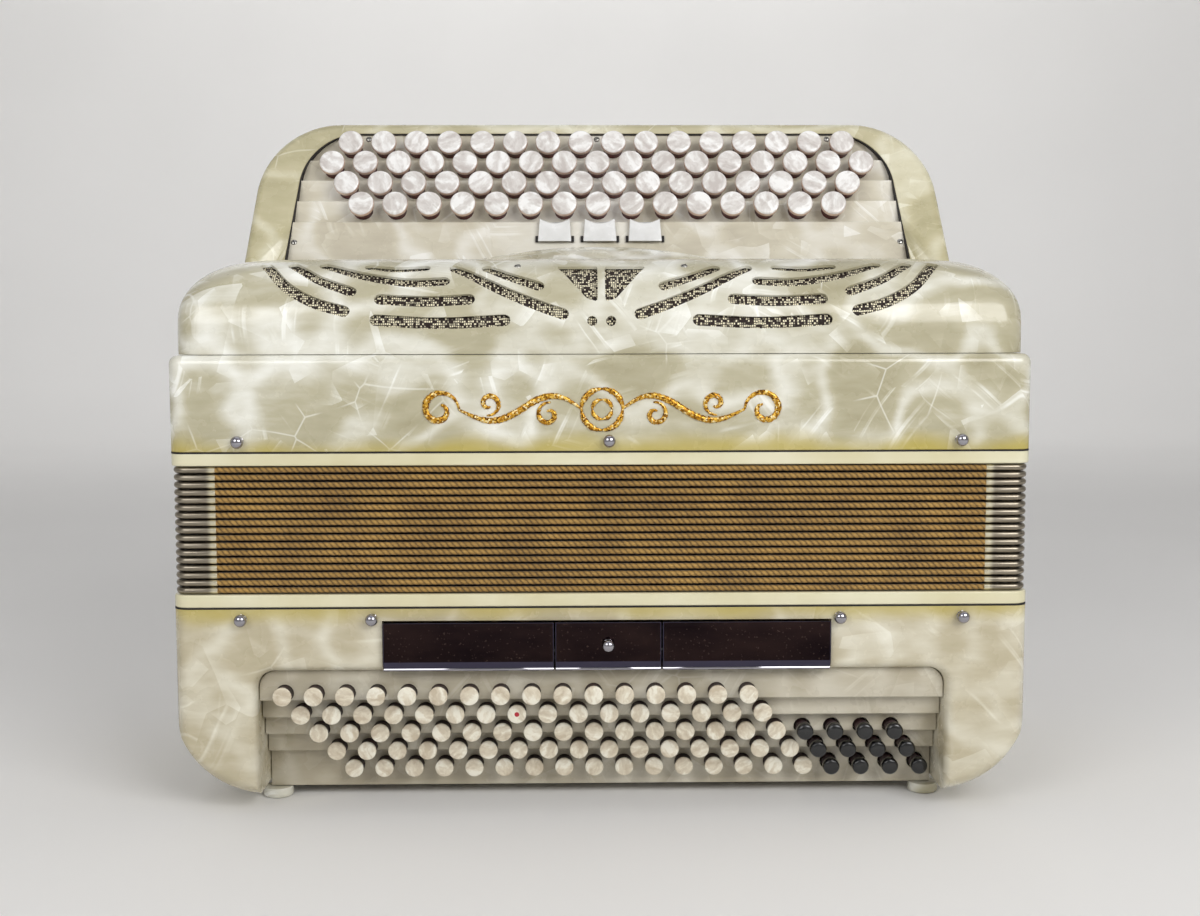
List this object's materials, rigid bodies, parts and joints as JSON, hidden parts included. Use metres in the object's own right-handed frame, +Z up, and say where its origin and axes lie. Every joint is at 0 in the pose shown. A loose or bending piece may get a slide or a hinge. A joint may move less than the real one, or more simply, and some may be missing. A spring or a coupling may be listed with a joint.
{
  "type": "chromatic button accordion",
  "caption": "Free-standing chromatic button accordion with drawing bellows, sprung rows of pearl buttons, rocking register plates, pierced grille cover and hand strap.",
  "frame": {"origin": "centre of the bounding box, on the floor under the feet", "axes": "+Z up along the bellows' travel, from the bass side to the treble side; +X along the width, to the high end of the treble; -Y out of the front"},
  "size_m": [0.4376, 0.206, 0.3722],
  "materials": {
    "pearl_celluloid": "polished pearloid celluloid over wood",
    "cream_celluloid": "plain cream celluloid",
    "bellows_cloth": "gold braid over card folds, steel corners",
    "button_pearl": "mother-of-pearl plastic",
    "button_black": "glossy black",
    "register_white": "glossy white",
    "chrome": "mirror",
    "steel": "plated",
    "woven_brass": "brown lacquered metal gauze",
    "gold_glitter": "gold glitter",
    "wood": "bare",
    "leather": "grained",
    "felt": "felt"
  },
  "bodies": {
    "bass_side": {"bass_case": "pearl_celluloid", "bass_end_cover": "pearl_celluloid", "bass_strap": "leather", "foot_front_left": "cream_celluloid", "foot_front_right": "cream_celluloid", "foot_rear_left": "cream_celluloid", "foot_rear_right": "cream_celluloid", "bass_button_board": "pearl_celluloid", "bass_register_centre": "chrome", "bass_soundboard": "wood", "bass_reed_block": "wood", "bass_bellows_frame": "cream_celluloid"},
    "treble_side": {"treble_bellows_frame": "cream_celluloid", "treble_case": "pearl_celluloid", "treble_soundboard": "wood", "treble_reed_block_1": "wood", "treble_reed_block_2": "wood", "grille_cover": "pearl_celluloid", "grille_screen": "woven_brass", "keyboard_case": "pearl_celluloid", "treble_button_board": "pearl_celluloid", "strap_bracket_left": "steel", "strap_bracket_right": "steel"},
    "air_button": {"air_button": "button_pearl"},
    "strap_wheel": {"strap_adjuster_wheel": "steel"},
    "bass_register_left": {"bass_register_left": "chrome"},
    "bass_register_right": {"bass_register_right": "chrome"},
    "fold_01": {"bellows_fold_01": "bellows_cloth"},
    "fold_02": {"bellows_fold_02": "bellows_cloth"},
    "fold_03": {"bellows_fold_03": "bellows_cloth"},
    "fold_04": {"bellows_fold_04": "bellows_cloth"},
    "fold_05": {"bellows_fold_05": "bellows_cloth"},
    "fold_06": {"bellows_fold_06": "bellows_cloth"},
    "fold_07": {"bellows_fold_07": "bellows_cloth"},
    "fold_08": {"bellows_fold_08": "bellows_cloth"},
    "fold_09": {"bellows_fold_09": "bellows_cloth"},
    "fold_10": {"bellows_fold_10": "bellows_cloth"},
    "fold_11": {"bellows_fold_11": "bellows_cloth"},
    "fold_12": {"bellows_fold_12": "bellows_cloth"},
    "fold_13": {"bellows_fold_13": "bellows_cloth"},
    "fold_14": {"bellows_fold_14": "bellows_cloth"},
    "fold_15": {"bellows_fold_15": "bellows_cloth"},
    "fold_16": {"bellows_fold_16": "bellows_cloth"},
    "fold_17": {"bellows_fold_17": "bellows_cloth"},
    "bass_row_a": {"bass_button_row_a": "button_pearl"},
    "bass_row_b": {"bass_button_row_b": "button_pearl"},
    "bass_row_c": {"bass_button_row_c": "button_pearl"},
    "bass_row_d": {"bass_button_row_d": "button_pearl"},
    "bass_row_e": {"bass_button_row_e": "button_pearl"},
    "treble_row_1": {"treble_button_row_1": "button_pearl"},
    "treble_row_2": {"treble_button_row_2": "button_pearl"},
    "treble_row_3": {"treble_button_row_3": "button_pearl"},
    "treble_row_4": {"treble_button_row_4": "button_pearl"},
    "treble_pallets_1": {"treble_pallets_1": "felt"},
    "treble_register_1": {"treble_register_tab_1": "register_white"},
    "treble_pallets_2": {"treble_pallets_2": "felt"},
    "treble_register_2": {"treble_register_tab_2": "register_white"},
    "treble_pallets_3": {"treble_pallets_3": "felt"},
    "treble_register_3": {"treble_register_tab_3": "register_white"}
  },
  "joints": [
    {"name": "bellows_open", "type": "slide", "parent": "bass_side", "child": "treble_side", "axis": [0, 0, 1], "range_m": [0, 0.36]},
    {"name": "fold_01_open", "type": "slide", "parent": "bass_side", "child": "fold_01", "axis": [0, 0, 1], "range_m": [0, 0.02]},
    {"name": "fold_02_open", "type": "slide", "parent": "bass_side", "child": "fold_02", "axis": [0, 0, 1], "range_m": [0, 0.04]},
    {"name": "fold_03_open", "type": "slide", "parent": "bass_side", "child": "fold_03", "axis": [0, 0, 1], "range_m": [0, 0.06]},
    {"name": "fold_04_open", "type": "slide", "parent": "bass_side", "child": "fold_04", "axis": [0, 0, 1], "range_m": [0, 0.08]},
    {"name": "fold_05_open", "type": "slide", "parent": "bass_side", "child": "fold_05", "axis": [0, 0, 1], "range_m": [0, 0.1]},
    {"name": "fold_06_open", "type": "slide", "parent": "bass_side", "child": "fold_06", "axis": [0, 0, 1], "range_m": [0, 0.12]},
    {"name": "fold_07_open", "type": "slide", "parent": "bass_side", "child": "fold_07", "axis": [0, 0, 1], "range_m": [0, 0.14]},
    {"name": "fold_08_open", "type": "slide", "parent": "bass_side", "child": "fold_08", "axis": [0, 0, 1], "range_m": [0, 0.16]},
    {"name": "fold_09_open", "type": "slide", "parent": "bass_side", "child": "fold_09", "axis": [0, 0, 1], "range_m": [0, 0.18]},
    {"name": "fold_10_open", "type": "slide", "parent": "bass_side", "child": "fold_10", "axis": [0, 0, 1], "range_m": [0, 0.2]},
    {"name": "fold_11_open", "type": "slide", "parent": "bass_side", "child": "fold_11", "axis": [0, 0, 1], "range_m": [0, 0.22]},
    {"name": "fold_12_open", "type": "slide", "parent": "bass_side", "child": "fold_12", "axis": [0, 0, 1], "range_m": [0, 0.24]},
    {"name": "fold_13_open", "type": "slide", "parent": "bass_side", "child": "fold_13", "axis": [0, 0, 1], "range_m": [0, 0.26]},
    {"name": "fold_14_open", "type": "slide", "parent": "bass_side", "child": "fold_14", "axis": [0, 0, 1], "range_m": [0, 0.28]},
    {"name": "fold_15_open", "type": "slide", "parent": "bass_side", "child": "fold_15", "axis": [0, 0, 1], "range_m": [0, 0.3]},
    {"name": "fold_16_open", "type": "slide", "parent": "bass_side", "child": "fold_16", "axis": [0, 0, 1], "range_m": [0, 0.32]},
    {"name": "fold_17_open", "type": "slide", "parent": "bass_side", "child": "fold_17", "axis": [0, 0, 1], "range_m": [0, 0.34]},
    {"name": "treble_row_1_press", "type": "slide", "parent": "treble_side", "child": "treble_row_1", "axis": [0, 0.9397, -0.342], "range_m": [0, 0.004], "stiffness_N_per_m": 900, "springref_m": -0.0015},
    {"name": "treble_row_2_press", "type": "slide", "parent": "treble_side", "child": "treble_row_2", "axis": [0, 0.9397, -0.342], "range_m": [0, 0.004], "stiffness_N_per_m": 900, "springref_m": -0.0015},
    {"name": "treble_row_3_press", "type": "slide", "parent": "treble_side", "child": "treble_row_3", "axis": [0, 0.9397, -0.342], "range_m": [0, 0.004], "stiffness_N_per_m": 900, "springref_m": -0.0015},
    {"name": "treble_row_4_press", "type": "slide", "parent": "treble_side", "child": "treble_row_4", "axis": [0, 0.9397, -0.342], "range_m": [0, 0.004]},
    {"name": "treble_pallets_1_lift", "type": "slide", "parent": "treble_side", "child": "treble_pallets_1", "axis": [0, 0, 1], "range_m": [0, 0.004]},
    {"name": "treble_pallets_2_lift", "type": "slide", "parent": "treble_side", "child": "treble_pallets_2", "axis": [0, 0, 1], "range_m": [0, 0.004]},
    {"name": "treble_pallets_3_lift", "type": "slide", "parent": "treble_side", "child": "treble_pallets_3", "axis": [0, 0, 1], "range_m": [0, 0.004]},
    {"name": "treble_register_1_rock", "type": "hinge", "parent": "treble_side", "child": "treble_register_1", "pos_m": [-0.025, 0.0133, 0.2995], "axis": [1, 0, 0], "range_deg": [0, 8], "stiffness_Nm_per_rad": 0.08, "springref_deg": -5.73},
    {"name": "treble_register_2_rock", "type": "hinge", "parent": "treble_side", "child": "treble_register_2", "pos_m": [0.001, 0.0133, 0.2995], "axis": [1, 0, 0], "range_deg": [0, 8], "stiffness_Nm_per_rad": 0.08, "springref_deg": -5.73},
    {"name": "treble_register_3_rock", "type": "hinge", "parent": "treble_side", "child": "treble_register_3", "pos_m": [0.027, 0.0133, 0.2995], "axis": [1, 0, 0], "range_deg": [0, 8], "stiffness_Nm_per_rad": 0.08, "springref_deg": -5.73},
    {"name": "bass_row_a_press", "type": "slide", "parent": "bass_side", "child": "bass_row_a", "axis": [0, 1, 0], "range_m": [0, 0.0035], "stiffness_N_per_m": 900, "springref_m": -0.0015},
    {"name": "bass_row_b_press", "type": "slide", "parent": "bass_side", "child": "bass_row_b", "axis": [0, 1, 0], "range_m": [0, 0.0035], "stiffness_N_per_m": 900, "springref_m": -0.0015},
    {"name": "bass_row_c_press", "type": "slide", "parent": "bass_side", "child": "bass_row_c", "axis": [0, 1, 0], "range_m": [0, 0.0035], "stiffness_N_per_m": 900, "springref_m": -0.0015},
    {"name": "bass_row_d_press", "type": "slide", "parent": "bass_side", "child": "bass_row_d", "axis": [0, 1, 0], "range_m": [0, 0.0035], "stiffness_N_per_m": 900, "springref_m": -0.0015},
    {"name": "bass_row_e_press", "type": "slide", "parent": "bass_side", "child": "bass_row_e", "axis": [0, 1, 0], "range_m": [0, 0.0035], "stiffness_N_per_m": 900, "springref_m": -0.0015},
    {"name": "bass_register_left_rock", "type": "hinge", "parent": "bass_side", "child": "bass_register_left", "pos_m": [-0.06835, -0.1015, 0.0995], "axis": [1, 0, 0], "range_deg": [0, 6], "stiffness_Nm_per_rad": 0.6, "springref_deg": -4.58},
    {"name": "bass_register_right_rock", "type": "hinge", "parent": "bass_side", "child": "bass_register_right", "pos_m": [0.07365, -0.1015, 0.0995], "axis": [1, 0, 0], "range_deg": [0, 6], "stiffness_Nm_per_rad": 0.6, "springref_deg": -4.58},
    {"name": "air_button_press", "type": "slide", "parent": "bass_side", "child": "air_button", "axis": [0, -1, 0], "range_m": [0, 0.004], "stiffness_N_per_m": 500, "springref_m": -0.002},
    {"name": "strap_wheel_turn", "type": "hinge", "parent": "bass_side", "child": "strap_wheel", "pos_m": [0.19, 0.084, 0.038], "axis": [1, 0, 0], "continuous": true}
  ],
  "couplings": [
    {"joint": "fold_01_open", "follows": "bellows_open", "ratio": 0.055556},
    {"joint": "fold_02_open", "follows": "bellows_open", "ratio": 0.11111},
    {"joint": "fold_03_open", "follows": "bellows_open", "ratio": 0.16667},
    {"joint": "fold_04_open", "follows": "bellows_open", "ratio": 0.22222},
    {"joint": "fold_05_open", "follows": "bellows_open", "ratio": 0.27778},
    {"joint": "fold_06_open", "follows": "bellows_open", "ratio": 0.33333},
    {"joint": "fold_07_open", "follows": "bellows_open", "ratio": 0.38889},
    {"joint": "fold_08_open", "follows": "bellows_open", "ratio": 0.44444},
    {"joint": "fold_09_open", "follows": "bellows_open", "ratio": 0.5},
    {"joint": "fold_10_open", "follows": "bellows_open", "ratio": 0.55556},
    {"joint": "fold_11_open", "follows": "bellows_open", "ratio": 0.61111},
    {"joint": "fold_12_open", "follows": "bellows_open", "ratio": 0.66667},
    {"joint": "fold_13_open", "follows": "bellows_open", "ratio": 0.72222},
    {"joint": "fold_14_open", "follows": "bellows_open", "ratio": 0.77778},
    {"joint": "fold_15_open", "follows": "bellows_open", "ratio": 0.83333},
    {"joint": "fold_16_open", "follows": "bellows_open", "ratio": 0.88889},
    {"joint": "fold_17_open", "follows": "bellows_open", "ratio": 0.94444},
    {"joint": "treble_row_4_press", "follows": "treble_row_1_press", "ratio": 1},
    {"joint": "treble_pallets_1_lift", "follows": "treble_row_1_press", "ratio": 1},
    {"joint": "treble_pallets_2_lift", "follows": "treble_row_2_press", "ratio": 1},
    {"joint": "treble_pallets_3_lift", "follows": "treble_row_3_press", "ratio": 1}
  ]
}
